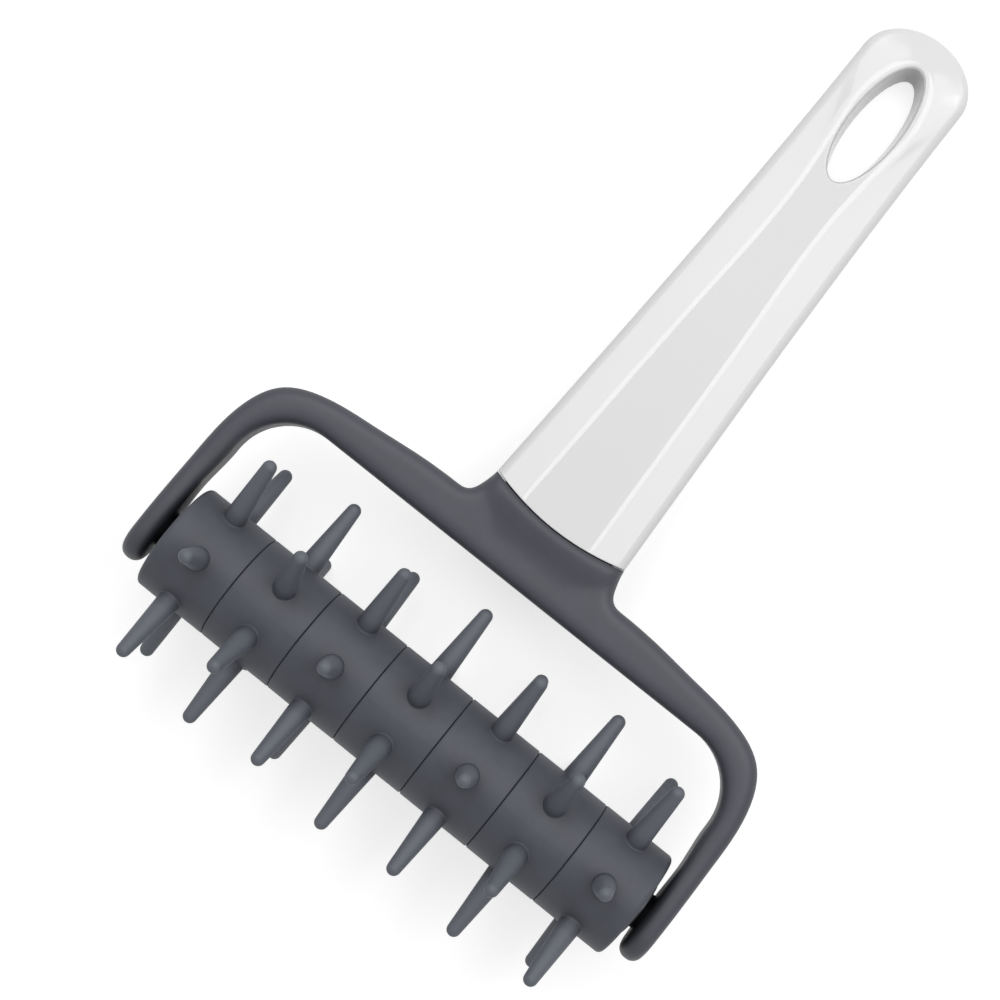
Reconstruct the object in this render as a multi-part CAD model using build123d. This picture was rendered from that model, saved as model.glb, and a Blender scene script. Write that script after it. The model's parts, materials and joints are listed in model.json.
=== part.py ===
from build123d import *
import os
from math import asin, atan2, cos, degrees, hypot, radians, sin, tan

# Dough docker: a pin roller turning in a yoke, with a moulded grip. Lengths are in millimetres and
# angles in degrees. The pieces are drawn in the tool's own plane: X along the roller's axis, Y towards
# the end of the grip and Z out of the front face, from zero on the roller's axis. At the end the tool
# is laid on its pins and its tail.

# Roller: seven pin rings side by side
ring_count = 7
ring_pitch = 17.0
ring_play = 0.06
drum_dia = 24.0
ring_edge_chamfer = 0.2
drum_shoulder_radius = 1.0
rim_wall = 2.0
hub_wall = 1.4
web_thickness = 3.0
end_wall = 2.4

# Pins: blunt tapered cones, six to a ring
pins_per_ring = 6
ring_turn_angle = 90.0
pin_reach = 27.85
pin_root_dia = 4.9
pin_tip_dia = 3.0
pin_sink = 1.4

# Splined core inside the rings, with a bush in each end
core_dia = 10.0
slide_clearance = 0.1
spline_count = 4
spline_width = 2.0
spline_height = 1.0
bush_dia = 7.4
bush_shoulder = 0.5
bush_depth = 8.0
bush_press = 0.01
bush_flange_dia = 11.6
bush_flange_thickness = 0.8

# Axle: a plain steel rod
axle_dia = 4.0
axle_running_clearance = 0.05
axle_chamfer = 0.4
axle_end_play = 0.2

# Yoke: arms whose round ends carry the axle, and a crossbar
side_gap = 2.0
side_running_gap = 0.3
axle_socket_depth = 3.9
arm_width = 4.9
arm_lean = 0.9
ear_reach = 9.4
ear_depth = 12.6
boss_dia = 8.0
boss_fillet = 0.3
bar_gap = 6.5
bar_height = 9.45
frame_depth = 11.0
inner_corner_radius = 13.0
yoke_round = 2.3

# Neck: flared up from the crossbar, with the grip's own section at the seam
neck_length = 6.8
neck_half_width = 16.15
neck_root_flare = 4.45
neck_flare = 0.85
neck_flare_height = 3.2
neck_slope_share = 0.12
neck_blend_start = 3.65

# How the neck grows out of the crossbar, from its start to the seam: how far along each section lies, how
# far its front has risen from the bar's to the grip's, and how much of the flare widens it
neck_along_shares = (0.0, 0.23, 0.43, 0.63, 0.81, 1.0)
neck_rise_shares = (-0.1, 0.02, 0.3, 0.76, 1.0, 1.0)
neck_flare_shares = (1.2, 1.1, 0.75, 0.3, 0.05, 0.0)

# Seam between yoke and grip: an arc that bulges towards the roller
seam_bulge = 2.5
seam_gap = 0.25

# Grip: tapered, flat in front and behind, with sloping bands along its sides
grip_length = 123.9
grip_end_rise = 9.5
grip_end_half_width = 12.3
grip_waist_distance = 54.4
grip_waist_half_width = 13.65
grip_base_thickness = 15.0
grip_end_thickness = 8.2
band_width = 7.7
band_drop = 1.8
ridge_radius = 4.5
grip_edge_round = 2.4

# Hang hole. The ridges part before it and close again behind it, which leaves a lip all round.
hole_length = 28.4
hole_width = 10.9
hole_end_wall = 8.1
hole_draft = 1.0
hole_rim_chamfer = 0.4
lip_width = 1.6
ridge_sweep = 2.0
ridge_sweep_angle = 25.0

# Socket in the grip, and the tang of the yoke that snaps into it
grip_wall = 2.4
tang_clearance = 0.15
tang_length = 61.9
tang_end_room = 15.0
tang_web = 3.0
tang_rail_width = 2.4
tang_rail_spacing = 14.0
tang_rib_count = 5
tang_rib_width = 2.0
lug_setback = 15.0
lug_length = 5.0
lug_ramp = 1.6
lug_rise = 0.9
lug_thickness = 3.0
pocket_clearance = 0.2

# One overrun for every cut that goes right through, how close an edge lies to the place that it is
# picked by, and how much of a wall a rounding may take
overrun = 5.0
edge_margin = 0.05
rounding_share = 0.45

# Worked out for the roller and its bearings
drum_radius = drum_dia / 2
drum_half_length = ring_count * ring_pitch / 2
pin_tip_radius = pin_tip_dia / 2
pin_tip_centre = pin_reach - pin_tip_radius
core_radius = core_dia / 2
ring_bore_radius = core_radius + slide_clearance
hub_radius = ring_bore_radius + spline_height + hub_wall
core_half_length = drum_half_length - end_wall - slide_clearance
boss_height = side_gap - bush_flange_thickness - side_running_gap
boss_face = drum_half_length + side_gap - boss_height
axle_half_length = boss_face + axle_socket_depth - axle_end_play

# Worked out for the yoke
arm_inner = drum_half_length + side_gap
arm_outer = arm_inner + arm_width
bar_inner_reach = pin_reach + bar_gap
bar_crown_reach = bar_inner_reach + bar_height
neck_flare_reach = bar_crown_reach + neck_flare_height
neck_reach = bar_crown_reach + neck_length

# Worked out for the grip
grip_base_reach = neck_reach - seam_bulge + seam_gap
grip_waist_reach = neck_reach + grip_waist_distance
grip_end_reach = neck_reach + grip_length
grip_taper = atan2((grip_base_thickness - grip_end_thickness) / 2, grip_length)
band_angle = atan2(band_drop, band_width)
hole_centre_reach = grip_end_reach - hole_end_wall - hole_length / 2
hole_depth = grip_base_thickness - 2 * tan(grip_taper) * (hole_centre_reach - neck_reach)
tang_end_reach = neck_reach + tang_length
socket_end_reach = tang_end_reach + tang_end_room
lug_reach = tang_end_reach - lug_setback

# Lying down, the tool touches the table with its pins and with the rounded ridge behind the hole
tail_ridge_reach = hole_centre_reach + hole_length / 2 + lip_width
tail_band_angle = atan2(band_drop, grip_end_reach - tail_ridge_reach)
lip_round_reach = tail_ridge_reach - ridge_radius * tan(tail_band_angle / 2)
lip_round_depth = grip_base_thickness / 2 - tan(grip_taper) * (lip_round_reach - neck_reach) - ridge_radius
drop_to_lip = pin_tip_centre - lip_round_depth
lay_angle = atan2(drop_to_lip, lip_round_reach)
lay_angle += asin((pin_tip_radius - ridge_radius) / hypot(drop_to_lip, lip_round_reach))


# General shapes

def rod(radius, start, end):
    """Solid cylinder along X from start to end."""
    return Pos((start + end) / 2, 0, 0) * (Rot(0, 90, 0) * Cylinder(radius, end - start))


def about_axis(shape, angle):
    """The shape turned about the roller's axis."""
    return Rot(angle, 0, 0) * shape


def slab(face, half_thickness):
    """A flat outline in the tool's plane, given its thickness both ways."""
    return extrude(Pos(0, 0, -half_thickness) * face, amount=2 * half_thickness)


# Pin rings

def make_pin():
    """One blunt pin along Z, a cone whose end is a ball."""
    root = drum_radius - pin_sink
    lean = asin((pin_root_dia - pin_tip_dia) / 2 / (pin_tip_centre - drum_radius))
    grow = tan(lean) * pin_sink
    shoulder = (pin_tip_radius * cos(lean), pin_tip_centre + pin_tip_radius * sin(lean))
    half_way = radians(45) + lean / 2
    crown = (pin_tip_radius * cos(half_way), pin_tip_centre + pin_tip_radius * sin(half_way))
    side = Polyline((0, root), (pin_root_dia / 2 + grow, root), shoulder)
    ball = ThreePointArc(shoulder, crown, (0, pin_reach))
    middle = Line((0, pin_reach), (0, root))
    profile = make_face(Plane.XZ * (side + ball + middle))
    return revolve(profile, Axis.Z)


def ring_pins():
    """The six pins of a ring."""
    pin = make_pin()
    step = 360 / pins_per_ring
    return [about_axis(pin, step * number) for number in range(pins_per_ring)]


def keyways(length):
    """What the core's splines need cut out of a ring's bore, along the length."""
    width = spline_width + 2 * slide_clearance
    top = core_radius + spline_height + slide_clearance
    cut = Pos(0, 0, top / 2) * Box(length, width, top)
    return [about_axis(cut, 360 / spline_count * number) for number in range(spline_count)]


def make_middle_ring():
    """A ring between two others: rim, hub and web, open on both sides."""
    width = ring_pitch - ring_play
    half = width / 2
    rim = chamfer(rod(drum_radius, -half, half).edges(), ring_edge_chamfer)
    room = rod(drum_radius - rim_wall, web_thickness / 2, half + overrun)
    room -= rod(hub_radius, 0, half + overrun)
    ring = rim - room - mirror(room, Plane.YZ) + ring_pins()
    return ring - rod(ring_bore_radius, -half - overrun, half + overrun) - keyways(width + 2 * overrun)


def make_end_ring():
    """The ring at the roller's left end: its outer face is closed but for the bush."""
    width = ring_pitch - ring_play
    half = width / 2
    body = rod(drum_radius, -half, half)
    body = fillet(body.edges().sort_by(Axis.X)[0], drum_shoulder_radius)
    body = chamfer(body.edges().sort_by(Axis.X)[-1], ring_edge_chamfer)
    inside = -half + end_wall
    room = rod(drum_radius - rim_wall, inside + web_thickness, half + overrun)
    room -= rod(hub_radius, inside, half + overrun)
    ring = body - room + ring_pins()
    bore = rod(ring_bore_radius, inside, half + overrun)
    mouth = rod(bush_dia / 2 + slide_clearance, -half - overrun, half)
    keys = Pos(inside + half + overrun, 0, 0) * Part(keyways(2 * (half + overrun)))
    return ring - bore - mouth - keys


def make_core():
    """The splined sleeve that the rings slide on."""
    sleeve = rod(core_radius, -core_half_length, core_half_length)
    spline = Pos(0, 0, core_radius) * Box(2 * core_half_length, spline_width, 2 * spline_height)
    sleeve += [about_axis(spline, 360 / spline_count * number) for number in range(spline_count)]
    sleeve -= rod(bush_dia / 2 - bush_shoulder, -core_half_length - overrun, core_half_length + overrun)
    for side in (-1, 1):
        seat = rod(bush_dia / 2, core_half_length - bush_depth, core_half_length + overrun)
        sleeve -= seat if side > 0 else mirror(seat, Plane.YZ)
    return sleeve


def make_bush():
    """The right-hand flanged bush, pressed into the core's end."""
    inner_end = core_half_length - bush_depth + slide_clearance
    outer_end = drum_half_length + bush_flange_thickness
    bush = rod(bush_dia / 2 - bush_press, inner_end, drum_half_length)
    bush += rod(bush_flange_dia / 2, drum_half_length, outer_end)
    return bush - rod(axle_dia / 2 + axle_running_clearance, inner_end - overrun, outer_end + overrun)


def make_axle():
    """The steel rod, chamfered at both ends."""
    bar = rod(axle_dia / 2, -axle_half_length, axle_half_length)
    return chamfer(bar.edges().filter_by(GeomType.CIRCLE), axle_chamfer)


# Yoke and grip

def seam_curve(offset):
    """Right-hand to left-hand end of the seam, moved along Y by the offset."""
    end = neck_reach + offset
    middle = end - seam_bulge
    return ThreePointArc((neck_half_width, end), (0, middle), (-neck_half_width, end))


def yoke_outline():
    """The yoke seen from the front, without bosses and tang."""
    below = -ear_reach - overrun
    lean_x = arm_inner - arm_lean
    corner_y = bar_inner_reach - inner_corner_radius
    corner_x = lean_x - inner_corner_radius
    diagonal = inner_corner_radius * cos(radians(45))
    inner_bar = Line((0, bar_inner_reach), (corner_x, bar_inner_reach))
    inner_corner = ThreePointArc((corner_x, bar_inner_reach), (corner_x + diagonal, corner_y + diagonal),
                                 (lean_x, corner_y))
    inner_arm = Spline((lean_x, corner_y), (arm_inner, ear_reach), tangents=((0, -1), (0, -1)))
    end = Polyline((arm_inner, ear_reach), (arm_inner, below), (arm_outer, below), (arm_outer, 0))
    # Shares of the yoke's half width and of the crown's reach, from the ear up round the corner to the neck
    outer_shares = ((0.996, 0.36), (0.976, 0.66), (0.917, 0.835), (0.80, 0.925), (0.60, 0.968))
    outer_points = [(arm_outer * across, bar_crown_reach * up) for across, up in outer_shares]
    crown_end = (neck_half_width + neck_root_flare, bar_crown_reach)
    outer = Spline([(arm_outer, 0)] + outer_points + [crown_end], tangents=((0, 1), (-1, 0)))
    flare = (neck_half_width + neck_flare, neck_flare_reach)
    hollow_points = [crown_end, flare, (neck_half_width, neck_reach)]
    hollow = Spline(hollow_points, tangents=((-1, 0), (-neck_slope_share, 1)))
    right = inner_bar + inner_corner + inner_arm + end + outer + hollow
    return make_face(right + seam_curve(0) + mirror(right, Plane.YZ))


def yoke_side():
    """The yoke seen from its right side: round ear, slimmer arm and bar. Points are (reach, depth)."""
    half = frame_depth / 2
    waist = ear_reach * 2
    ear_half = ear_depth / 2
    ear_end = ear_half - ear_reach
    diagonal = ear_half * cos(radians(45))
    ear = ThreePointArc((-ear_reach, 0), (ear_end - diagonal, diagonal), (ear_end, ear_half))
    ear += Line((ear_end, ear_half), (0, ear_half))
    arm = Spline((0, ear_half), (waist, half), tangents=((1, 0), (1, 0)))
    bar = Polyline((waist, half), (neck_reach, half), (neck_reach, 0))
    front = ear + arm + bar
    return make_face(front + mirror(front, Plane.XZ))


def yoke_frame():
    """Crossbar and arms with rounded edges, open ears and the foot of the neck."""
    frame = slab(yoke_outline(), ear_depth)
    side = Pos(-arm_outer - overrun, 0, 0) * (Plane.YZ * yoke_side())
    frame &= extrude(side, amount=2 * (arm_outer + overrun))
    edges = frame.edges()
    across = edges.filter_by(Axis.X).filter_by(lambda edge: abs(edge.center().X) > arm_inner - arm_lean)
    seam = edges.filter_by(lambda edge: edge.bounding_box().min.Y > neck_flare_reach)
    rim = edges - edges.filter_by(Axis.Z) - across - seam
    return fillet(rim, min(yoke_round, rounding_share * arm_width, rounding_share * frame_depth))


def half_width_at(reach):
    """How wide the grip is to each side of its middle, at a reach beyond its waist."""
    length = grip_length - grip_end_rise - grip_waist_distance
    run = (grip_waist_half_width - grip_end_half_width) / length
    return grip_waist_half_width - run * (reach - grip_waist_reach)


def grip_face(drop, start, side_points, end_rise):
    """One lengthwise section of the grip, in a plane parallel to its front at a depth below it.

    Its right side runs through the points, as (half width, reach), to an end that is half an ellipse.
    """
    depth = grip_base_thickness / 2 - drop
    square_on = (0, sin(grip_taper), cos(grip_taper))
    plane = Plane(origin=(0, neck_reach, depth), x_dir=(1, 0, 0), z_dir=square_on)
    flat = [(x, (reach - neck_reach) / cos(grip_taper)) for x, reach in side_points]
    base_half, end_half, end_centre = flat[0][0], flat[-1][0], flat[-1][1]
    low = (start - neck_reach) / cos(grip_taper)
    lean = ((flat[1][0] - base_half) / flat[1][1], 1)
    side = Line((base_half, low), (base_half, 0)) + Spline(flat, tangents=(lean, (0, 1)))
    end = EllipticalCenterArc((0, end_centre), end_half, end_rise, start_angle=0, arc_size=180)
    base = Line((-base_half, low), (base_half, low))
    return plane * make_face(side + end + mirror(side, Plane.YZ) + base)


def edge_face(start):
    """The grip's outline, at the depth of its outer edges."""
    waist = (grip_waist_half_width, grip_waist_reach)
    end = (grip_end_half_width, grip_end_reach - grip_end_rise)
    return grip_face(band_drop, start, [(neck_half_width, neck_reach), waist, end], grip_end_rise)


def panel_face(start):
    """The flat front panel: it narrows towards the hang hole, and its ridges then part round it."""
    lip_half_width = hole_width / 2 + lip_width
    lip_half_length = hole_length / 2 + lip_width
    turn = radians(ridge_sweep_angle)
    parting = hole_centre_reach - hole_length / 2 - ridge_sweep
    points = [
        (neck_half_width - band_width, neck_reach),
        (grip_waist_half_width - band_width, grip_waist_reach),
        (half_width_at(parting) - band_width, parting),
        (lip_half_width * cos(turn), hole_centre_reach - lip_half_length * sin(turn)),
        (lip_half_width, hole_centre_reach),
    ]
    return grip_face(0, start, points, lip_half_length)


def grip_blank(start):
    """The grip's full form with sharp edges: flat panels, sloping bands and upright sides."""
    panel = panel_face(start)
    edge = edge_face(start)
    return loft([mirror(panel, Plane.XY), mirror(edge, Plane.XY), edge, panel], ruled=True)


def half_depth_at(reach):
    """How deep the grip's front panel lies in front of its middle, at a reach."""
    return grip_base_thickness / 2 - tan(grip_taper) * (reach - neck_reach)


def inner_section(reach, half_width, inset):
    """The grip's section across, moved in by the inset."""
    half_depth = half_depth_at(reach) - inset
    side = half_width - inset
    ridge = half_width - band_width
    corner = [(ridge, half_depth), (side, half_depth - band_drop)]
    right = corner + [(x, -z) for x, z in reversed(corner)]
    left = [(-x, z) for x, z in reversed(right)]
    return Pos(0, reach, 0) * (Plane.XZ * make_face(Polyline(*right, *left, close=True)))


def inner_form(inset):
    """The room inside the grip, or the tang that fills it, from the crossbar up to the socket's end."""
    sections = [
        inner_section(bar_crown_reach, neck_half_width, inset),
        inner_section(neck_reach, neck_half_width, inset),
        inner_section(grip_waist_reach, grip_waist_half_width, inset),
        inner_section(socket_end_reach, half_width_at(socket_end_reach), inset),
    ]
    return loft(sections, ruled=True)


def clear_of_base(edges, start):
    """The edges that run along the grip, without those of its cut base."""
    return edges.filter_by(lambda edge: edge.center().Y > start + seam_gap)


def panel_edges(shape, start):
    """The ridges: where the flat front and back panels meet the sloping bands."""
    panels = shape.faces().filter_by(GeomType.PLANE).sort_by(SortBy.AREA)[-2:]
    return clear_of_base(panels[0].edges() + panels[1].edges(), start)


def rounded_blank(start):
    """The grip's full form with its ridges and its outer edges rounded."""
    blank = grip_blank(start)
    # The edges across the grip, from one lengthwise edge to the next, are the short ones
    along = clear_of_base(blank.edges(), start).filter_by(lambda edge: edge.length > 2 * band_width)
    side_room = (grip_end_thickness / 2 - band_drop) / tan(radians(45) - band_angle / 2)
    edge_round = min(grip_edge_round, 2 * rounding_share * side_room)
    blank = fillet(along - panel_edges(blank, start), edge_round)
    return fillet(panel_edges(blank, start), ridge_radius)


def below_seam(offset):
    """All the room on the roller's side of the seam."""
    end = neck_reach + offset
    wide = neck_half_width + overrun
    rest = Polyline((-neck_half_width, end), (-wide, end), (-wide, 0), (wide, 0), (wide, end),
                    (neck_half_width, end))
    return slab(make_face(seam_curve(offset) + rest), grip_base_thickness)


def up_to(reach, half_thickness):
    """A slab across the tool from the roller's axis up to the reach."""
    room = Box(2 * arm_outer, reach, 2 * half_thickness)
    return Pos(0, reach / 2, 0) * room


def neck_section(reach, half_width, half_depth):
    """The grip's rounded section across, at a reach, as wide and as deep as asked."""
    ridge = (half_width - band_width, half_depth)
    edge = (half_width, half_depth - band_drop)
    right = [ridge, edge, (edge[0], -edge[1]), (ridge[0], -ridge[1])]
    left = [(-x, z) for x, z in reversed(right)]
    face = make_face(Polyline(*right, *left, close=True))
    corners = face.vertices().group_by(lambda vertex: abs(vertex.X))
    face = fillet(corners[-1], grip_edge_round)
    ridges = face.vertices().filter_by(lambda vertex: abs(abs(vertex.X) - ridge[0]) < edge_margin)
    return Pos(0, reach, 0) * (Plane.XZ * fillet(ridges, ridge_radius))


def make_neck():
    """The grip's section carried on from the seam, sinking smoothly into the crossbar."""
    low = bar_inner_reach + neck_blend_start
    half_bar = frame_depth / 2
    sections = []
    for along, rise, flare in zip(neck_along_shares, neck_rise_shares, neck_flare_shares):
        reach = low + (neck_reach - low) * along
        depth = half_bar + (half_depth_at(reach) - half_bar) * rise
        sections.append(neck_section(reach, neck_half_width + neck_flare * flare, depth))
    beyond = neck_reach + overrun
    sections.append(neck_section(beyond, neck_half_width, half_depth_at(beyond)))
    return loft(sections) & below_seam(0)


def lug_room(clearance):
    """The outline of the two snap lugs, each with a ramp on its leading side."""
    low = lug_reach - lug_length / 2 - clearance
    high = lug_reach + lug_length / 2 + clearance
    wide = grip_waist_half_width
    core = wide - grip_wall - lug_rise - tang_clearance
    corners = [(core, low), (wide, low), (wide, high - lug_ramp), (core, high + lug_ramp)]
    lug = make_face(Polyline(*corners, close=True))
    return slab(lug + mirror(lug, Plane.YZ), lug_thickness / 2 + clearance)


def make_tang():
    """The ribbed tongue that fills the grip's socket, with a snap lug on each side."""
    inset = grip_wall + tang_clearance
    deep = grip_base_thickness
    pattern = up_to(tang_end_reach, tang_web / 2)
    for side in (-1, 1):
        rail = Box(tang_rail_width, tang_end_reach, deep)
        pattern += Pos(side * tang_rail_spacing / 2, tang_end_reach / 2, 0) * rail
    pitch = (tang_end_reach - neck_reach - tang_rib_width) / (tang_rib_count - 1)
    for number in range(tang_rib_count):
        rib = Box(2 * neck_half_width, tang_rib_width, deep)
        pattern += Pos(0, neck_reach + tang_rib_width / 2 + pitch * number, 0) * rib
    return (inner_form(inset) & pattern) + (inner_form(inset - lug_rise) & lug_room(0))


def make_yoke():
    """Arms, crossbar, neck, bosses and tang as one solid."""
    yoke = yoke_frame() + make_neck() + make_tang()
    boss = rod(boss_dia / 2, boss_face, arm_inner + arm_width / 2)
    hole_end = boss_face + axle_socket_depth
    socket = rod(axle_dia / 2 + axle_running_clearance, boss_face - overrun, hole_end)
    for side in (boss, mirror(boss, Plane.YZ)):
        yoke += side
    roots = yoke.edges().filter_by(GeomType.CIRCLE).filter_by(
        lambda edge: abs(edge.radius - boss_dia / 2) < edge_margin
        and abs(abs(edge.center().X) - arm_inner) < edge_margin)
    yoke = fillet(roots, min(boss_fillet, rounding_share * boss_height))
    return yoke - socket - mirror(socket, Plane.YZ)


def hole_face(growth, height):
    """The hang hole's oval, larger all round by the growth, at a height in front of the middle."""
    oval = Ellipse(hole_width / 2 + growth, hole_length / 2 + growth)
    return Pos(0, hole_centre_reach, height) * oval


def hole_mouth():
    """What the chamfer of the hole's front rim takes away, square to the front panel."""
    tilt = Rot(-degrees(grip_taper), 0, 0)
    inner = Ellipse(hole_width / 2, hole_length / 2)
    growth = 2 * hole_rim_chamfer
    outer = Ellipse(hole_width / 2 + growth, hole_length / 2 + growth)
    cut = loft([Pos(0, 0, -hole_rim_chamfer) * inner, Pos(0, 0, hole_rim_chamfer) * outer], ruled=True)
    return Pos(0, hole_centre_reach, hole_depth / 2) * (tilt * cut)


def make_grip():
    """The hollow moulded handle with its hang hole."""
    grip = rounded_blank(grip_base_reach)
    narrow = hole_face(-hole_draft - hole_draft / 2, -hole_depth)
    grip -= loft([narrow, hole_face(hole_draft / 2, hole_depth)], ruled=True)
    mouth = hole_mouth()
    grip -= [mouth, mirror(mouth, Plane.XY)]
    pocket_wall = grip_wall + tang_clearance - lug_rise - pocket_clearance
    pockets = inner_form(pocket_wall) & lug_room(pocket_clearance)
    return grip - below_seam(seam_gap) - inner_form(grip_wall) - pockets


def assemble():
    """Every piece in its place in the tool's plane."""
    grip = make_grip()
    yoke = make_yoke()
    middle_ring = make_middle_ring()
    end_ring = make_end_ring()
    bush = make_bush()
    pieces = {"handle": grip, "yoke": yoke}
    for number in range(1, ring_count + 1):
        ring = middle_ring
        if number == 1:
            ring = end_ring
        if number == ring_count:
            ring = mirror(end_ring, Plane.YZ)
        turned = about_axis(ring, ring_turn_angle * ((number + 1) % 2))
        along = (number - (ring_count + 1) / 2) * ring_pitch
        pieces[f"pin_ring_{number}"] = Pos(along, 0, 0) * turned
    pieces["roller_core"] = make_core()
    pieces["left_bush"] = mirror(bush, Plane.YZ)
    pieces["right_bush"] = bush
    pieces["axle"] = make_axle()
    return pieces


def lay_down(pieces):
    """The tool tipped back until pins and tail touch one level, with zero amid its footprint."""
    tipped = {node: about_axis(shape, -degrees(lay_angle)) for node, shape in pieces.items()}
    box = Compound(list(tipped.values())).bounding_box()
    place = Pos(-box.center().X, -box.center().Y, -box.min.Z)
    return {node: place * shape for node, shape in tipped.items()}


parts = lay_down(assemble())
os.makedirs("parts", exist_ok=True)
for node, shape in parts.items():
    export_step(shape, f"parts/{node}.step")
    print(node, round(shape.volume, 1))
print("roller's axis passes through", parts["axle"].center())
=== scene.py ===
"""Dough docker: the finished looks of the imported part, with its studio.

The pieces are modelled in the tool's own plane, in metres: X along the roller's axis, Y towards the end
of the grip and Z out of the front face, from zero on the roller's axis. They are then laid down as the
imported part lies: on its pins and on the end of its grip.
"""
import json
import logging
import math
from collections.abc import Callable, Sequence
from dataclasses import dataclass, field
from enum import Enum

import bmesh
import bpy
from mathutils import Matrix, Vector


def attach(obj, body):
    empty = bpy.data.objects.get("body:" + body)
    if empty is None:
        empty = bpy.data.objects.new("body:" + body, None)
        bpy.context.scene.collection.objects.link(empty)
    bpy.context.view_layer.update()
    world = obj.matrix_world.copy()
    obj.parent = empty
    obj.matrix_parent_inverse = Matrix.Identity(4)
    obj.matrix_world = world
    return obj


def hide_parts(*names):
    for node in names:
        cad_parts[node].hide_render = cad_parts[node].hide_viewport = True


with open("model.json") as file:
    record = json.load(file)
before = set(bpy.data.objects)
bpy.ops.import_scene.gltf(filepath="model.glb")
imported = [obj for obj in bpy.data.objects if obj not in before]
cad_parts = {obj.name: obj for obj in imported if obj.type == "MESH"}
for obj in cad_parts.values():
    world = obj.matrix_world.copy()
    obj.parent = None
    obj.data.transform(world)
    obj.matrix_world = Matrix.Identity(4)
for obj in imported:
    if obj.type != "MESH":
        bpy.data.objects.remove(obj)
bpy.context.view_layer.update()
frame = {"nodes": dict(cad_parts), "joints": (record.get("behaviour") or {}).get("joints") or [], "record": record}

LOG = logging.getLogger("dough_docker")
MM = 0.001
WHITE = (1.0, 1.0, 1.0, 1.0)

# How closely a place has to meet a plane, in metres, or a radius, in millimetres, to be on it
NEAR = 1e-6
NEAR_RADIUS_MM = 0.02

# How much a large face counts beside a small one where their shading meets: 50 is even, and 100 the most
FACE_WEIGHT = 80

# How many rays find the edges to soften and the walls that paint shade into a hollow, and the share of open sky
# under which that painted shade gets no darker
EDGE_RAYS = 12
PAINTED_SHADE_RAYS = 8
LEAST_SKY = 0.15

# The numbers of a mix node's sockets for colours: share, first and second colour, and the mixed one
MIX_SHARE = 0
MIX_FIRST = 6
MIX_SECOND = 7
MIXED = 2

Point = tuple[float, float, float]
Socket = bpy.types.NodeSocket
Tree = bpy.types.NodeTree


class Slot(Enum):
    """The record's material slots."""

    GRIP = "grip_white"
    YOKE = "yoke_grey"
    ROLLER = "roller_grey"
    CORE = "core_plastic"
    BUSH = "bush_plastic"
    AXLE = "axle_steel"


class Kind(Enum):
    """What a selection in edit mode takes."""

    EDGE = "edges"
    FACE = "faces"


def linear(code: str) -> tuple[float, float, float, float]:
    """Turns an sRGB hex colour to the linear colour that a shader takes, by the standard's own curve.

    Args:
        code: The colour, such as "#5a5d64".

    Returns:
        Red, green, blue and an opacity of one.
    """
    shades = [int(code[start:start + 2], 16) / 255 for start in (1, 3, 5)]
    bright = [shade / 12.92 if shade <= 0.04045 else ((shade + 0.055) / 1.055) ** 2.4 for shade in shades]
    return (*bright, 1.0)


def add_node(tree: Tree, kind: str, settings: dict[str | int, object],
             links: dict[str | int, Socket] | None = None) -> bpy.types.Node:
    """Adds a shader node with its settings and its incoming links.

    Args:
        tree: The node tree that takes it.
        kind: The node's type.
        settings: Values by the name of a property, or by the name or number of an input.
        links: Output sockets by the name or number of the input that each one feeds.

    Returns:
        The new node.
    """
    node = tree.nodes.new(kind)
    for name, value in settings.items():
        if isinstance(name, str) and hasattr(node, name):
            setattr(node, name, value)
        else:
            node.inputs[name].default_value = value
    for name, source in (links or {}).items():
        tree.links.new(source, node.inputs[name])
    return node


def vary(tree: Tree, middle: float, spread: float, noise: Socket) -> Socket:
    """Varies a value with a noise.

    Args:
        tree: The material's nodes.
        middle: The value.
        spread: How far it goes either way.
        noise: A noise from zero to one.

    Returns:
        The varied value.
    """
    return add_node(tree, "ShaderNodeMapRange", {"To Min": middle - spread, "To Max": middle + spread},
                    {"Value": noise}).outputs["Result"]


def bare_material(name: str) -> bpy.types.Material:
    """Makes a material whose tree has no nodes yet.

    Args:
        name: Its name.

    Returns:
        The material.
    """
    made = bpy.data.materials.new(name)
    made.use_nodes = True
    made.node_tree.nodes.clear()
    return made


def deselect_all() -> None:
    """Leaves edit mode with nothing selected, ready for a new primitive."""
    if bpy.context.object and bpy.context.object.mode != "OBJECT":
        bpy.ops.object.mode_set(mode="OBJECT")
    bpy.ops.object.select_all(action="DESELECT")


def select_only(piece: bpy.types.Object) -> None:
    """Selects one piece alone, in object mode.

    Args:
        piece: The piece, which is made active.
    """
    deselect_all()
    piece.select_set(True)
    bpy.context.view_layer.objects.active = piece


def pick(piece: bpy.types.Object, kind: Kind, wanted: Callable[[Vector], bool]) -> None:
    """Selects edges or faces of a piece by their place, in edit mode.

    Args:
        piece: The piece, which is made active.
        kind: Edges or faces.
        wanted: Says of an element's middle whether it is taken.
    """
    if piece.mode != "EDIT":
        select_only(piece)
        bpy.ops.object.mode_set(mode="EDIT")
    bpy.context.tool_settings.mesh_select_mode = (False, kind is Kind.EDGE, kind is Kind.FACE)
    bpy.ops.mesh.select_all(action="DESELECT")
    shape = bmesh.from_edit_mesh(piece.data)
    if kind is Kind.EDGE:
        places = [(edge, (edge.verts[0].co + edge.verts[1].co) / 2) for edge in shape.edges]
    else:
        places = [(face, face.calc_center_median()) for face in shape.faces]
    for element, place in places:
        if wanted(place):
            element.select_set(True)
    shape.select_flush_mode()
    bmesh.update_edit_mesh(piece.data)


def extrude(move: Point) -> None:
    """Extrudes what is selected and moves it."""
    bpy.ops.mesh.extrude_region_move(TRANSFORM_OT_translate={"value": move})


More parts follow.
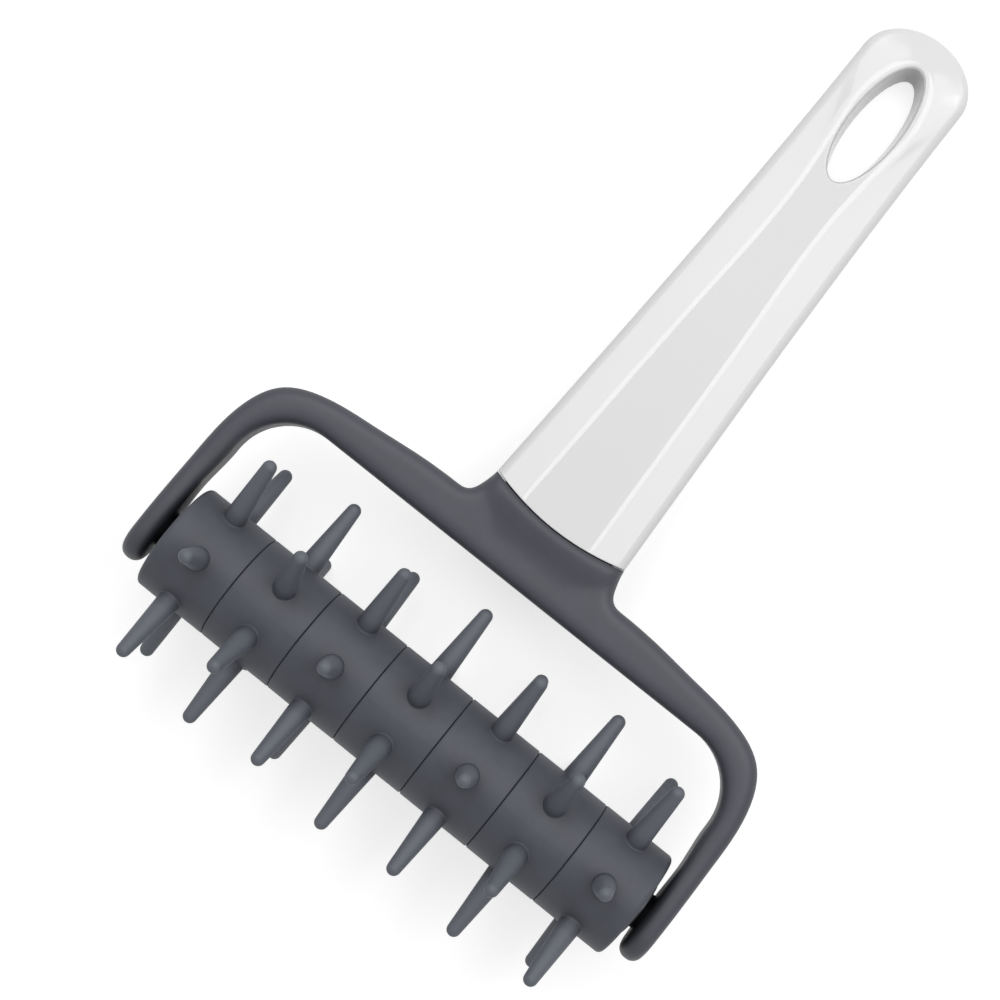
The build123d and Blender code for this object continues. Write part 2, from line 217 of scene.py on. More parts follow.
def apply_modifier(piece: bpy.types.Object, kind: str, settings: dict[str, object]) -> None:
    """Adds a modifier to a piece and applies it.

    Args:
        piece: The piece.
        kind: The modifier's type.
        settings: Its properties by name.
    """
    select_only(piece)
    modifier = piece.modifiers.new(kind.lower(), kind)
    for name, value in settings.items():
        setattr(modifier, name, value)
    bpy.ops.object.modifier_apply(modifier=modifier.name)


def combine(piece: bpy.types.Object, tool: bpy.types.Object, operation: str) -> None:
    """Joins a tool to a piece, or cuts it out, and deletes the tool."""
    apply_modifier(piece, "BOOLEAN", {"operation": operation, "solver": "EXACT", "object": tool})
    bpy.data.objects.remove(tool)


def copy_of(piece: bpy.types.Object, move: Matrix) -> bpy.types.Object:
    """Copies a piece, moved, turned or mirrored in its mesh.

    Args:
        piece: The piece.
        move: How the copy is moved.

    Returns:
        The copy, with a mesh of its own.
    """
    twin = piece.copy()
    twin.data = piece.data.copy()
    bpy.context.scene.collection.objects.link(twin)
    twin.data.transform(move)
    return twin


def face_out(piece: bpy.types.Object) -> None:
    """Merges doubles and turns every face outwards.

    Args:
        piece: The piece, a closed shape.
    """
    select_only(piece)
    bpy.ops.object.mode_set(mode="EDIT")
    bpy.ops.mesh.select_all(action="SELECT")
    bpy.ops.mesh.remove_doubles(threshold=NEAR)
    bpy.ops.mesh.normals_make_consistent(inside=False)
    bpy.ops.object.mode_set(mode="OBJECT")


def shade(piece: bpy.types.Object, crease_deg: float) -> None:
    """Shades a piece smooth, but keeps its sharp edges sharp and its large faces flat.

    Args:
        piece: The piece.
        crease_deg: The angle from which an edge is sharp.
    """
    select_only(piece)
    bpy.ops.object.shade_smooth_by_angle(angle=math.radians(crease_deg))
    apply_modifier(piece, "WEIGHTED_NORMAL", {"keep_sharp": True, "weight": FACE_WEIGHT})


class ToolPlane:
    """The plane that the tool is drawn in, and how it lies on the table."""

    def __init__(self) -> None:
        """Finds the plane from the roller's axis and the middle of the hang hole."""
        axis = Vector(frame["joints"][0]["pos_m"])
        hole = Vector(frame["record"]["mounts"][0]["pos_m"])
        tilt = math.atan2(axis.z - hole.z, hole.y - axis.y)
        self.matrix = Matrix.Translation(axis) @ Matrix.Rotation(-tilt, 4, "X")

    def lay(self, piece: bpy.types.Object) -> None:
        """Lays a finished piece down with the tool, and leaves its place in its mesh.

        Args:
            piece: The piece, drawn in the plane.
        """
        piece.matrix_world = self.matrix @ piece.matrix_world
        piece.data.transform(piece.matrix_world)
        piece.matrix_world = Matrix.Identity(4)

    def stand(self, thing: bpy.types.Object, place_mm: Point, right: Sequence[float], up: Sequence[float],
              back: Sequence[float]) -> None:
        """Puts a camera or a lamp into the scene.

        Args:
            thing: The new camera or lamp.
            place_mm: Its place in the plane, in millimetres.
            right: The direction of its own X in the plane.
            up: The direction of its own Y.
            back: The direction of its own Z, away from what it looks at.
        """
        bpy.context.scene.collection.objects.link(thing)
        turn = Matrix((right, up, back)).transposed().to_4x4()
        thing.matrix_world = self.matrix @ Matrix.Translation(Vector(place_mm) * MM) @ turn


@dataclass(frozen=True, kw_only=True)
class MouldedPlastic:
    """An injection-moulded plastic: a body colour, a gloss, the mould's texture on it, and painted shade in its
    hollows.

    Attributes:
        name: The material's name.
        colour: The body colour where its soft clouds are lightest.
        deep_colour: The body colour where they are deepest.
        roughness: How dull it is.
        roughness_spread: How far the clouds take that either way.
        ior: Its index of refraction.
        grain_mm: The size of the grain that the mould's finish leaves.
        grain_depth_mm: How deep the grain is.
        grain_detail: How finely the grain breaks up.
        wave_mm: The size of the clouds, and of the waves that cooling leaves.
        wave_depth_mm: How deep the waves are.
        wave_detail: How finely clouds and waves break up.
        crown_mm: Over what distance an edge or a crease looks soft.
        painted_shade_reach_mm: How near a wall stands that paints shade into a hollow.
        painted_shade_keep: What share of its colour the deepest hollow keeps under the painted shade.
        painted_shade_own_walls: True where only the piece's own walls paint shade into its hollows.
    """

    name: str
    colour: str
    deep_colour: str
    roughness: float
    roughness_spread: float = 0.03
    ior: float
    grain_mm: float
    grain_depth_mm: float
    grain_detail: float = 1.0
    wave_mm: float
    wave_depth_mm: float
    wave_detail: float = 5.0
    crown_mm: float
    painted_shade_reach_mm: float
    painted_shade_keep: float
    painted_shade_own_walls: bool = False

    def material(self) -> bpy.types.Material:
        """Builds the material.

        Returns:
            The material, reading Object coordinates only.
        """
        made = bare_material(self.name)
        tree = made.node_tree
        place = add_node(tree, "ShaderNodeTexCoord", {}).outputs["Object"]
        cloud = add_node(tree, "ShaderNodeTexNoise",
                         {"Scale": 1 / (self.wave_mm * MM), "Detail": self.wave_detail},
                         {"Vector": place}).outputs["Fac"]
        grain = add_node(tree, "ShaderNodeTexNoise",
                         {"Scale": 1 / (self.grain_mm * MM), "Detail": self.grain_detail},
                         {"Vector": place}).outputs["Fac"]
        tint = self.tint(tree, place, cloud)
        crown = add_node(tree, "ShaderNodeBevel",
                         {"samples": EDGE_RAYS, "Radius": self.crown_mm * MM}).outputs["Normal"]
        colour = self.paint_hollow_shade(tree, tint, crown)
        gloss = vary(tree, self.roughness, self.roughness_spread, cloud)
        waves = add_node(tree, "ShaderNodeBump", {"Distance": self.wave_depth_mm * MM},
                         {"Height": cloud, "Normal": crown})
        bumps = add_node(tree, "ShaderNodeBump", {"Distance": self.grain_depth_mm * MM},
                         {"Height": grain, "Normal": waves.outputs["Normal"]})
        shader = add_node(tree, "ShaderNodeBsdfPrincipled", {"IOR": self.ior},
                          {"Base Color": colour, "Roughness": gloss, "Normal": bumps.outputs["Normal"]})
        add_node(tree, "ShaderNodeOutputMaterial", {}, {"Surface": shader.outputs["BSDF"]})
        return made

    def tint(self, tree: Tree, place: Socket, cloud: Socket) -> Socket:
        """Mixes the body colour.

        Args:
            tree: The material's nodes.
            place: Object coordinates, which a plastic with marked zones reads.
            cloud: A soft noise from zero to one.

        Returns:
            The colour.
        """
        return add_node(tree, "ShaderNodeMix",
                        {"data_type": "RGBA", MIX_FIRST: linear(self.deep_colour),
                         MIX_SECOND: linear(self.colour)}, {MIX_SHARE: cloud}).outputs[MIXED]

    def paint_hollow_shade(self, tree: Tree, tint: Socket, crown: Socket) -> Socket:
        """Paints shade into a colour where walls stand close together.

        Args:
            tree: The material's nodes.
            tint: The colour.
            crown: The normal, with its softened edges.

        Returns:
            The darkened colour.
        """
        # Painted shade: the colour darkens with the share of open sky that nearby walls hide
        sky = add_node(tree, "ShaderNodeAmbientOcclusion",
                       {"samples": PAINTED_SHADE_RAYS, "only_local": self.painted_shade_own_walls,
                        "Distance": self.painted_shade_reach_mm * MM}, {"Normal": crown})
        painted_shade_share = add_node(tree, "ShaderNodeMapRange", {"From Min": LEAST_SKY, "To Min": self.painted_shade_keep},
                        {"Value": sky.outputs["AO"]})
        return add_node(tree, "ShaderNodeMix",
                        {"data_type": "RGBA", "blend_type": "MULTIPLY", MIX_SHARE: 1.0},
                        {MIX_FIRST: tint, MIX_SECOND: painted_shade_share.outputs["Result"]}).outputs[MIXED]


@dataclass(frozen=True, kw_only=True)
class PinPlastic(MouldedPlastic):
    """The plastic of the pin rings, with painted light on the pins: a paler colour than on the drum.

    Attributes:
        pin_painted_light_colour: The pins' paler colour, which is painted light.
        axis: A point on the roller's axis, in metres.
        drum_mm: How far from the axis the pins' colour begins.
        blend_mm: Over what distance it comes in.
    """

    pin_painted_light_colour: str
    axis: Point
    drum_mm: float
    blend_mm: float

    def tint(self, tree: Tree, place: Socket, cloud: Socket) -> Socket:
        """Mixes the pins' painted light, a paler colour, into the colour of the drum.

        Args:
            tree: The material's nodes.
            place: Object coordinates.
            cloud: A soft noise from zero to one.

        Returns:
            The colour.
        """
        body = super().tint(tree, place, cloud)
        centred = add_node(tree, "ShaderNodeVectorMath", {"operation": "SUBTRACT", 1: self.axis}, {0: place})
        flat = add_node(tree, "ShaderNodeVectorMath", {"operation": "MULTIPLY", 1: (0, 1, 1)},
                        {0: centred.outputs[0]})
        reach = add_node(tree, "ShaderNodeVectorMath", {"operation": "LENGTH"}, {0: flat.outputs[0]})
        start = self.drum_mm * MM
        share = add_node(tree, "ShaderNodeMapRange",
                         {"From Min": start, "From Max": start + self.blend_mm * MM},
                         {"Value": reach.outputs["Value"]})
        return add_node(tree, "ShaderNodeMix", {"data_type": "RGBA", MIX_SECOND: linear(self.pin_painted_light_colour)},
                        {MIX_SHARE: share.outputs["Result"], MIX_FIRST: body}).outputs[MIXED]


@dataclass(frozen=True, kw_only=True)
class DrawnSteel:
    """Stainless rod, drawn through a die: bright, with fine lines along its length.

    Attributes:
        name: The material's name.
        colour: The colour of the bare metal.
        roughness: How dull it is.
        roughness_spread: How far the lines take that either way.
        line_mm: The lines' width.
        line_length_mm: Their length, along X.
        line_depth_mm: How deep they are.
        line_detail: How finely they break up.
    """

    name: str = "drawn_stainless_steel"
    colour: str = "#c9c8c6"
    roughness: float = 0.28
    roughness_spread: float = 0.08
    line_mm: float = 0.12
    line_length_mm: float = 12.0
    line_depth_mm: float = 0.002
    line_detail: float = 2.0

    def material(self) -> bpy.types.Material:
        """Builds the material.

        Returns:
            The material, with its lines along X.
        """
        made = bare_material(self.name)
        tree = made.node_tree
        place = add_node(tree, "ShaderNodeTexCoord", {}).outputs["Object"]
        across = 1 / (self.line_mm * MM)
        along = 1 / (self.line_length_mm * MM)
        drawn = add_node(tree, "ShaderNodeMapping", {"Scale": (along, across, across)}, {"Vector": place})
        lines = add_node(tree, "ShaderNodeTexNoise", {"Scale": 1.0, "Detail": self.line_detail},
                         {"Vector": drawn.outputs["Vector"]}).outputs["Fac"]
        gloss = vary(tree, self.roughness, self.roughness_spread, lines)
        bumps = add_node(tree, "ShaderNodeBump", {"Distance": self.line_depth_mm * MM}, {"Height": lines})
        shader = add_node(tree, "ShaderNodeBsdfPrincipled",
                          {"Base Color": linear(self.colour), "Metallic": 1.0},
                          {"Roughness": gloss, "Normal": bumps.outputs["Normal"]})
        add_node(tree, "ShaderNodeOutputMaterial", {}, {"Surface": shader.outputs["BSDF"]})
        return made


# High-gloss ABS from a polished mould: a clean white with the faint waviness that cooling leaves on thick
# walls. Little light reaches the wall of the hang hole, so painted shade darkens its colour there.
GLOSS_ABS = MouldedPlastic(
    name="gloss_white_abs", colour="#e4e4e4", deep_colour="#e1e1e2", roughness=0.11, roughness_spread=0.01,
    ior=1.58, grain_mm=0.5, grain_depth_mm=0.0003, wave_mm=24, wave_depth_mm=0.008,
    crown_mm=0.4, painted_shade_reach_mm=12, painted_shade_keep=0.15, painted_shade_own_walls=True)

# Polypropylene from a spark-eroded mould: a blue-grey that stays even, with a satin sheen from a fine
# grain. The real grain is about 0.05 mm, and is drawn at 0.45 mm so that it shows. The wide crown stands
# for the soft run of the neck into the crossbar. Painted shade darkens its colour where other pieces stand
# close, as on the arms' inner sides beside the roller.
SATIN_PP = MouldedPlastic(
    name="satin_grey_polypropylene", colour="#454750", deep_colour="#3a3c44", roughness=0.46,
    ior=1.49, grain_mm=0.45, grain_depth_mm=0.01, wave_mm=5, wave_depth_mm=0.006,
    crown_mm=3.2, painted_shade_reach_mm=14, painted_shade_keep=0.15)

# The rings' polypropylene. The pins get painted light: a colour a shade paler than the drum's, which
# comes in over the pins' roots. Painted shade darkens the colour round the roots and in other hollows.
PIN_PP = PinPlastic(
    name="pin_grey_polypropylene", colour="#4c4f58", deep_colour="#3a3d45", roughness=0.56,
    ior=1.49, grain_mm=0.45, grain_depth_mm=0.012, wave_mm=4, wave_depth_mm=0.006,
    crown_mm=0.5, painted_shade_reach_mm=6, painted_shade_keep=0.45,
    pin_painted_light_colour="#5d6169", axis=tuple(frame["joints"][0]["pos_m"]), drum_mm=12.3, blend_mm=3)

# The same resin in a darker batch, hidden inside the rings, with painted shade in its hollows.
CORE_PP = MouldedPlastic(
    name="dark_grey_polypropylene", colour="#494c52", deep_colour="#43464c", roughness=0.5,
    ior=1.49, grain_mm=0.3, grain_depth_mm=0.004, wave_mm=12, wave_depth_mm=0.01,
    crown_mm=0.2, painted_shade_reach_mm=4, painted_shade_keep=0.7)

# Acetal from a polished mould: a waxy near-black bearing plastic, with painted shade in its hollows.
ACETAL = MouldedPlastic(
    name="dark_acetal", colour="#3d4045", deep_colour="#393c41", roughness=0.34,
    ior=1.48, grain_mm=0.25, grain_depth_mm=0.002, wave_mm=10, wave_depth_mm=0.004,
    crown_mm=0.2, painted_shade_reach_mm=4, painted_shade_keep=0.7)

FINISHES: dict[Slot, MouldedPlastic | DrawnSteel] = {
    Slot.GRIP: GLOSS_ABS,
    Slot.YOKE: SATIN_PP,
    Slot.ROLLER: PIN_PP,
    Slot.CORE: CORE_PP,
    Slot.BUSH: ACETAL,
    Slot.AXLE: DrawnSteel(),
}


@dataclass(frozen=True)
class Lamp:
    """One softbox, aimed at the roller's middle.

    Attributes:
        name: Its name.
        place_mm: Its middle, in the tool's plane.
        size_mm: Its width across the tool, and its length along it.
        brightness: How bright it looks, where a white floor is one.
    """

    name: str
    place_mm: Point
    size_mm: tuple[float, float]
    brightness: float

    def hang(self, plane: ToolPlane) -> None:
        """Hangs the lamp over the tool.

        Args:
            plane: The tool's plane.
        """
        light = bpy.data.lights.new(self.name, "AREA")
        light.shape = "RECTANGLE"
        light.size, light.size_y = (side * MM for side in self.size_mm)
        light.energy = self.brightness * math.pi * light.size * light.size_y
        lamp = bpy.data.objects.new(self.name, light)
        back = Vector(self.place_mm).normalized()
        side = Vector((0, 1, 0)).cross(back).normalized()
        plane.stand(lamp, self.place_mm, side, back.cross(side), back)


@dataclass
class Studio:
    """Floor, lamps, sky and camera. Places are in the tool's plane, and lengths in millimetres.

    The strips hang where the grip's two ridges mirror them, and the softboxes where its side bands do. To
    the camera, the floor glows by floor_glow near the part and by far_glow beyond the lamps' pool of light,
    whose inner and outer edges are lit_pool.
    """

    eye: Point = (14.46, 32.52, 471.67)
    right: Point = (0.7815, 0.62337, -0.02591)
    up: Point = (-0.62133, 0.78137, 0.05838)
    back: Point = (0.05664, -0.02953, 0.99796)
    lens: float = 84.43
    sensor: float = 36.0
    sight: tuple[float, float] = (10.0, 50000.0)
    floor_half: float = 6000.0
    floor_colour: str = "#cacaca"
    floor_roughness: float = 0.9
    floor_glow: float = 0.66
    far_glow: float = 0.82
    lit_pool: tuple[float, float] = (250.0, 1200.0)
    sky_strength: float = 0.37
    lamps: tuple[Lamp, ...] = (
        Lamp("left_strip", (-165, 270, 600), (190, 460), 3.3),
        Lamp("right_strip", (150, 270, 600), (180, 460), 3.3),
        Lamp("left_softbox", (-375, 320, 560), (200, 700), 1.65),
        Lamp("right_softbox", (335, 320, 560), (220, 700), 1.85),
    )

    def place_camera(self, plane: ToolPlane) -> None:
        """Puts the camera where the photograph was taken from.

        Args:
            plane: The tool's plane, which the camera was measured in.
        """
        optics = bpy.data.cameras.new("camera")
        optics.sensor_width = self.sensor
        optics.lens = self.lens
        optics.clip_start, optics.clip_end = (distance * MM for distance in self.sight)
        camera = bpy.data.objects.new("camera", optics)
        plane.stand(camera, self.eye, self.right, self.up, self.back)
        bpy.context.scene.camera = camera

    @staticmethod
    def seen_rays(tree: Tree) -> Socket:
        """Tells what is looked at from what gives light.

        Args:
            tree: The nodes of the floor or of the sky.

        Returns:
            One for what the camera, a gloss or a clear piece sees, and zero for what lights the object.
        """
        ray = add_node(tree, "ShaderNodeLightPath", {})
        mirrored = add_node(tree, "ShaderNodeMath", {"operation": "MAXIMUM"},
                            {0: ray.outputs["Is Glossy Ray"], 1: ray.outputs["Is Transmission Ray"]})
        return add_node(tree, "ShaderNodeMath", {"operation": "MAXIMUM"},
                        {0: ray.outputs["Is Camera Ray"], 1: mirrored.outputs[0]}).outputs[0]

    def floor_paint(self) -> bpy.types.Material:
        """Makes the floor's material, which looks white where nothing shades it.

        Returns:
            The material.
        """
        paint = bare_material("matt_white_board")
        tree = paint.node_tree
        seen = self.seen_rays(tree)
        place = add_node(tree, "ShaderNodeTexCoord", {}).outputs["Object"]
        away = add_node(tree, "ShaderNodeVectorMath", {"operation": "LENGTH"}, {0: place}).outputs["Value"]
        inner, outer = (distance * MM for distance in self.lit_pool)
        level = add_node(tree, "ShaderNodeMapRange", {"From Min": inner, "From Max": outer,
                                                      "To Min": self.floor_glow, "To Max": self.far_glow},
                         {"Value": away}).outputs["Result"]
        glow = add_node(tree, "ShaderNodeMath", {"operation": "MULTIPLY"}, {0: seen, 1: level})
        shader = add_node(tree, "ShaderNodeBsdfPrincipled",
                          {"Base Color": linear(self.floor_colour), "Roughness": self.floor_roughness,
                           "Specular IOR Level": 0.0, "Emission Color": WHITE},
                          {"Emission Strength": glow.outputs[0]})
        add_node(tree, "ShaderNodeOutputMaterial", {}, {"Surface": shader.outputs["BSDF"]})
        return paint

    def lay_floor(self) -> None:
        """Lays a wide pale floor at table height."""
        deselect_all()
        bpy.ops.mesh.primitive_plane_add(size=2 * self.floor_half * MM)
        floor = bpy.context.object
        floor.name = "floor"
        floor.data.materials.append(self.floor_paint())

    def fill_sky(self) -> None:
        """Gives even light from all round, and a plain white to look at."""
        world = bpy.data.worlds.new("studio")
        bpy.context.scene.world = world
        world.use_nodes = True
        tree = world.node_tree
        tree.nodes.clear()
        strength = add_node(tree, "ShaderNodeMapRange", {"To Min": self.sky_strength, "To Max": 1.0},
                            {"Value": self.seen_rays(tree)})
        glow = add_node(tree, "ShaderNodeBackground", {"Color": WHITE},
                        {"Strength": strength.outputs["Result"]})
        add_node(tree, "ShaderNodeOutputWorld", {}, {"Surface": glow.outputs["Background"]})

    def build(self, plane: ToolPlane) -> None:
        """Sets up the whole studio.

        Args:
            plane: The tool's plane.
        """
        self.place_camera(plane)
        self.lay_floor()
        self.fill_sky()
        for lamp in self.lamps:
            lamp.hang(plane)
        bpy.context.scene.view_settings.view_transform = "Standard"


@dataclass
class PinRing:
    """One moulded ring of the roller with its pins, along X about zero.

    Sizes are in millimetres. Radii are from the roller's axis, and a pin's own from the pin's.
    """

    drum_radius: float = 12.0
    width: float = 16.94
    rim_wall: float = 2.0
    hub_radius: float = 7.5
    bore_radius: float = 5.1
    web_thickness: float = 3.0
    end_wall: float = 2.4
    mouth_radius: float = 3.8
    edge_round: float = 0.3
    edge_steps: int = 2
    shoulder_round: float = 1.0
    shoulder_steps: int = 4
    keyway_width: float = 2.2
    keyway_reach: float = 6.1
    pins: int = 6
    pin_reach: float = 27.85
    pin_root_radius: float = 2.45
    pin_tip_radius: float = 1.5
    pin_sink: float = 1.2
    root_fillet: float = 0.2
    mould_line_width: float = 0.14
    mould_line_height: float = 0.03
    sides: int = 96
    pin_sides: int = 32
    ball_steps: int = 6
    fillet_steps: int = 4

    @property
    def flat(self) -> float:
        """How far the middle of a facet lies in from its corners, as a share of the radius."""
        return math.cos(math.pi / self.sides)

    @property
    def half(self) -> float:
        """Half the ring's width, in metres."""
        return self.width / 2 * MM

    def off_axis(self, place: Vector) -> float:
        """How far a place lies from the roller's axis, in millimetres."""
        return math.hypot(place.y, place.z) / MM

    def on_drum(self, place: Vector) -> bool:
        """Whether a place lies on the outside of the drum."""
        return self.off_axis(place) > self.drum_radius * self.flat - NEAR_RADIUS_MM

    def inset(self, step: float) -> None:
        """Insets the selected faces by a step of the radius, in millimetres."""
        bpy.ops.mesh.inset(thickness=step * self.flat * MM)

    def pin_profile(self) -> list[tuple[float, float]]:
        """Draws the pin's outline, from inside the drum to the ball of its tip.

        Returns:
            Pairs of radius and height in millimetres.
        """
        tip_centre = self.pin_reach - self.pin_tip_radius
        lean = math.asin((self.pin_root_radius - self.pin_tip_radius) / (tip_centre - self.drum_radius))
        fillet_centre = self.pin_root_radius + self.root_fillet
        profile = [(fillet_centre, self.drum_radius - self.pin_sink)]
        for step in range(self.fillet_steps + 1):
            turn = (math.pi / 2 - lean) * step / self.fillet_steps
            profile.append((fillet_centre - self.root_fillet * math.sin(turn),
                            self.drum_radius + self.root_fillet * (1 - math.cos(turn))))
        for step in range(self.ball_steps):
            turn = lean + (math.pi / 2 - lean) * step / self.ball_steps
            profile.append((self.pin_tip_radius * math.cos(turn),
                            tip_centre + self.pin_tip_radius * math.sin(turn)))
        return profile

    def make_pin(self) -> bpy.types.Object:
        """Draws one pin up along Z and seats its root on the round of the drum.

        Returns:
            The pin, a closed shape that reaches into the drum's wall.
        """
        deselect_all()
        profile = self.pin_profile()
        start_radius, start_height = profile[0]
        bpy.ops.mesh.primitive_circle_add(vertices=self.pin_sides, radius=start_radius * MM,
                                          fill_type="NGON", location=(0, 0, start_height * MM))
        pin = bpy.context.object
        bpy.ops.object.transform_apply(location=True)
        bpy.ops.object.mode_set(mode="EDIT")
        bpy.ops.mesh.select_all(action="SELECT")
        for (radius, height), (next_radius, next_height) in zip(profile, profile[1:]):
            extrude((0, 0, (next_height - height) * MM))
            grow = next_radius / radius
            bpy.ops.transform.resize(value=(grow, grow, 1), center_override=(0, 0, next_height * MM))
        extrude((0, 0, (self.pin_reach - profile[-1][1]) * MM))
        bpy.ops.mesh.merge(type="CENTER")
        bpy.ops.object.mode_set(mode="OBJECT")
        drum = self.drum_radius * MM
        for vertex in pin.data.vertices:
            if vertex.co.z < drum + self.root_fillet * MM:
                vertex.co.z -= drum - math.sqrt(drum ** 2 - vertex.co.y ** 2)
        face_out(pin)
        return pin

    def sink_face(self, drum: bpy.types.Object, side: int, closed_end: bool) -> None:
        """Shapes one end face of the drum: its rim, the room inside it, the hub and the bore's mouth.

        Args:
            drum: The drum.
            side: One for the face towards +X, and minus one for the other.
            closed_end: True where the other face is closed, so that all is sunk from this one.
        """
        inner = self.drum_radius - self.rim_wall

        def on_face(place: Vector) -> bool:
            """Whether a place lies on this end face."""
            return place.x * side > self.half - NEAR

        pick(drum, Kind.FACE, on_face)
        self.inset(self.rim_wall)
        self.inset(inner - self.hub_radius)
        pick(drum, Kind.FACE, lambda place: on_face(place) and self.hub_radius < self.off_axis(place) < inner)
        floor = self.web_thickness / 2 * MM
        if closed_end:
            floor = (self.end_wall + self.web_thickness) * MM - self.half
        extrude((side * (floor - self.half), 0, 0))
        pick(drum, Kind.FACE, lambda place: on_face(place) and self.off_axis(place) < NEAR / MM)
        self.inset(self.hub_radius - self.bore_radius)
        if closed_end:
            extrude((self.end_wall * MM - 2 * self.half, 0, 0))
            self.inset(self.bore_radius - self.mouth_radius)
        bpy.ops.mesh.delete(type="FACE")

    def make_drum(self, closed_end: bool) -> bpy.types.Object:
        """Shapes the drum with its hub, web, bore and rounded rims.

        Args:
            closed_end: True for the roller's left end, whose outer face is closed but for the bush's mouth.

        Returns:
            The ring without its pins.
        """
        deselect_all()
        bpy.ops.mesh.primitive_cylinder_add(vertices=self.sides, radius=self.drum_radius * MM,
                                            depth=2 * self.half, rotation=(0, math.pi / 2, 0))
        drum = bpy.context.object
        bpy.ops.object.transform_apply(rotation=True)
        for side in (1,) if closed_end else (-1, 1):
            self.sink_face(drum, side, closed_end)
        if closed_end:
            pick(drum, Kind.FACE, lambda place: place.x < NEAR - self.half)
            self.inset(self.drum_radius - self.mouth_radius)
            bpy.ops.mesh.delete(type="FACE")
        opening = (self.mouth_radius if closed_end else self.bore_radius) * self.flat
        pick(drum, Kind.EDGE, lambda place: abs(self.off_axis(place) - opening) < NEAR_RADIUS_MM)
        bpy.ops.mesh.bridge_edge_loops()
        edge = (self.edge_round, self.edge_steps)
        shoulder = (self.shoulder_round, self.shoulder_steps) if closed_end else edge
        for end, (radius, steps) in ((-self.half, shoulder), (self.half, edge)):
            pick(drum, Kind.EDGE, lambda place: abs(place.x - end) < NEAR and self.on_drum(place))
            bpy.ops.mesh.bevel(offset=radius * MM, segments=steps)
        return drum

    def add_mould_lines(self, drum: bpy.types.Object) -> None:
        """Raises the fine lines left by the mould: one round the middle of the drum, and one along it.

        Args:
            drum: The ring without its pins.
        """
        line = self.mould_line_width / 2 * MM
        for place in (-line, line):
            pick(drum, Kind.FACE, self.on_drum)
            bpy.ops.mesh.bisect(plane_co=(place, 0, 0), plane_no=(1, 0, 0))
        pick(drum, Kind.EDGE, lambda middle: self.on_drum(middle) and middle.y > 0 and abs(middle.z) < NEAR
             and abs(middle.x) > line + NEAR)
        bpy.ops.mesh.bevel(offset=line, segments=1)
        pick(drum, Kind.FACE, lambda middle: self.on_drum(middle)
             and (abs(middle.x) < NEAR or middle.y > 0 and abs(middle.z) < NEAR))
        grow = 1 + self.mould_line_height / self.drum_radius
        bpy.ops.transform.resize(value=(1, grow, grow), center_override=(0, 0, 0))

    def cut_keyways(self, drum: bpy.types.Object, closed_end: bool) -> None:
        """Cuts the four keyways that slide over the core's splines.

        Args:
            drum: The ring without its pins.
            closed_end: True where the keyways stop at the closed end's wall.
        """
        deselect_all()
        start = (self.end_wall if closed_end else -self.end_wall) - self.width / 2
        length = self.width / 2 + self.end_wall - start
        size = (length * MM, self.keyway_width * MM, 2 * self.keyway_reach * MM)
        bpy.ops.mesh.primitive_cube_add(size=1, location=((start + length / 2) * MM, 0, 0), scale=size)
        key = bpy.context.object
        bpy.ops.object.transform_apply(location=True, scale=True)
        combine(key, copy_of(key, Matrix.Rotation(math.pi / 2, 4, "X")), "UNION")
        combine(drum, key, "DIFFERENCE")

    def build(self, closed_end: bool) -> bpy.types.Object:
        """Makes one whole ring.

        Args:
            closed_end: True for the ring at the roller's left end.

        Returns:
            The ring, about zero.
        """
        drum = self.make_drum(closed_end)
        self.add_mould_lines(drum)
        self.cut_keyways(drum, closed_end)
        pin = self.make_pin()
        turns = [2 * math.pi / self.pins * number for number in range(1, self.pins)]
        others = [copy_of(pin, Matrix.Rotation(turn, 4, "X")) for turn in turns]
        select_only(pin)
        for other in others:
            other.select_set(True)
        bpy.ops.object.join()
        combine(drum, pin, "UNION")
        return drum


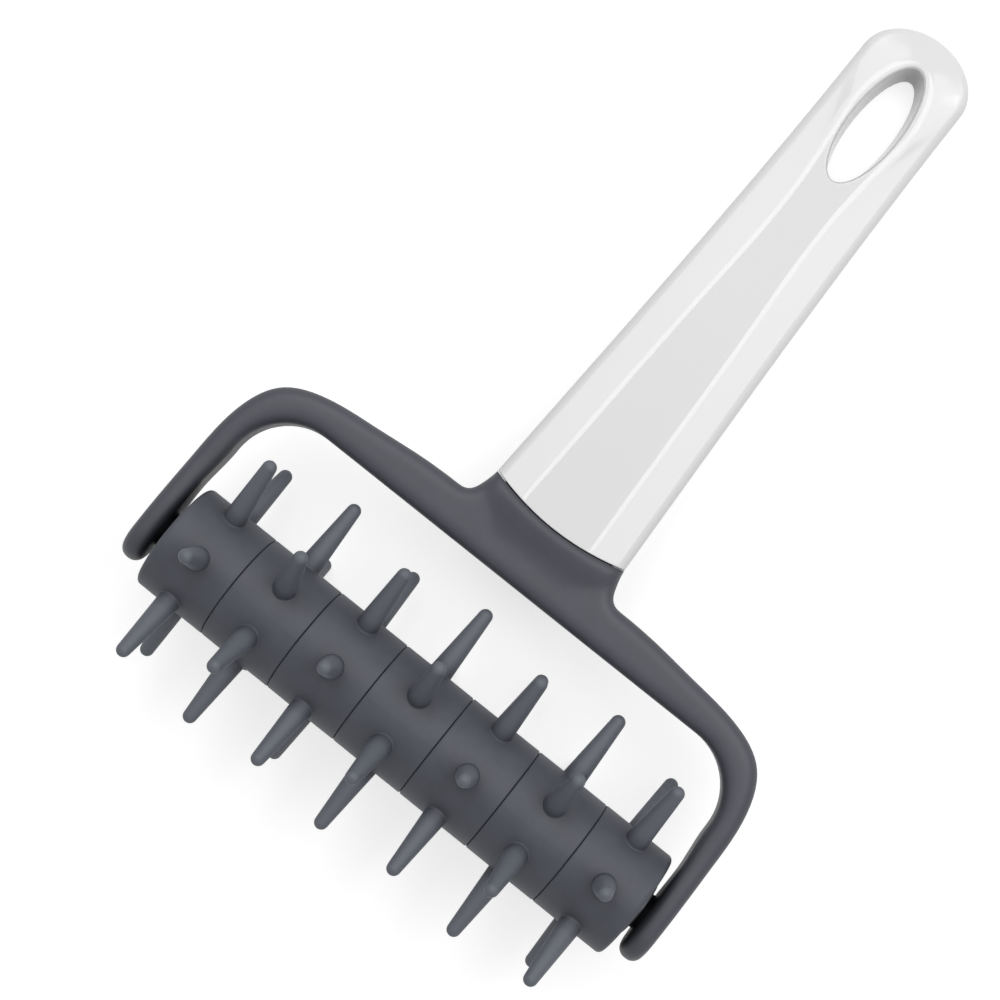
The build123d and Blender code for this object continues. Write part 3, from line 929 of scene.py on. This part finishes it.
@dataclass
class Roller:
    """The rings side by side, every second one a quarter turn on.

    The pitch from ring to ring is in millimetres, and crease_deg is the angle from which an edge is sharp.
    """

    ring: PinRing = field(default_factory=PinRing)
    rings: int = 7
    pitch: float = 17.0
    crease_deg: float = 32.0

    def seat(self, number: int) -> Matrix:
        """Finds where a ring belongs on the roller.

        Args:
            number: The ring's number, from one at the left.

        Returns:
            Its place and its turn. The last ring is the first one's mirror image.
        """
        along = Matrix.Translation(((number - (self.rings + 1) / 2) * self.pitch * MM, 0, 0))
        turn = Matrix.Rotation(math.pi / 2 * ((number + 1) % 2), 4, "X")
        mirror = Matrix.Scale(-1 if number == self.rings else 1, 4, (1, 0, 0))
        return along @ turn @ mirror

    def dress(self, ring: bpy.types.Object, node: str, material: bpy.types.Material) -> None:
        """Names and dresses a finished ring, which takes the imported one's place.

        Args:
            ring: The ring, already where it belongs.
            node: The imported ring's node.
            material: The rings' finish.
        """
        ring.name = f"moulded_{node}"
        ring.data.name = ring.name
        ring.data.materials.clear()
        ring.data.materials.append(material)
        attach(ring, "roller")
        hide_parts(node)
        LOG.info("%s: %d faces, %s", ring.name, len(ring.data.polygons), material.name)

    def build(self, plane: ToolPlane) -> None:
        """Makes the rings, dresses them and lays them down with the tool.

        Args:
            plane: Where the tool lies.
        """
        material = FINISHES[Slot.ROLLER].material()
        middle = self.ring.build(closed_end=False)
        end = self.ring.build(closed_end=True)
        for number in range(1, self.rings + 1):
            ring = copy_of(end if number in (1, self.rings) else middle, self.seat(number))
            face_out(ring)
            shade(ring, self.crease_deg)
            plane.lay(ring)
            self.dress(ring, f"pin_ring_{number}", material)
        for model in (middle, end):
            bpy.data.objects.remove(model)


def dress_nodes(slot: Slot, *nodes: str) -> None:
    """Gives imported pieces, whose shapes are right as they are, their slot's finish.

    Args:
        slot: The record's slot.
        nodes: The pieces, which share one material.
    """
    material = FINISHES[slot].material()
    for node in nodes:
        for holder in frame["nodes"][node].material_slots:
            holder.material = material
        LOG.info("%s: %s", node, material.name)


@dataclass
class Bearings:
    """What the roller runs on: its core, the axle and the bushes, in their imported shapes."""

    core: str = "roller_core"
    axle: str = "axle"
    bushes: tuple[str, ...] = ("left_bush", "right_bush")

    def dress(self) -> None:
        """Gives each piece its finish."""
        dress_nodes(Slot.CORE, self.core)
        dress_nodes(Slot.AXLE, self.axle)
        dress_nodes(Slot.BUSH, *self.bushes)


@dataclass
class Holder:
    """What the roller is held by: the handle and the yoke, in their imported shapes."""

    handle: str = "handle"
    yoke: str = "yoke"

    def dress(self) -> None:
        """Gives both pieces their finishes."""
        dress_nodes(Slot.GRIP, self.handle)
        dress_nodes(Slot.YOKE, self.yoke)


def main() -> None:
    """Builds the studio and every piece, in order."""
    logging.basicConfig(level=logging.INFO, format="%(name)s: %(message)s")
    plane = ToolPlane()
    Studio().build(plane)
    Bearings().dress()
    Holder().dress()
    Roller().build(plane)


if __name__ == "__main__":
    main()
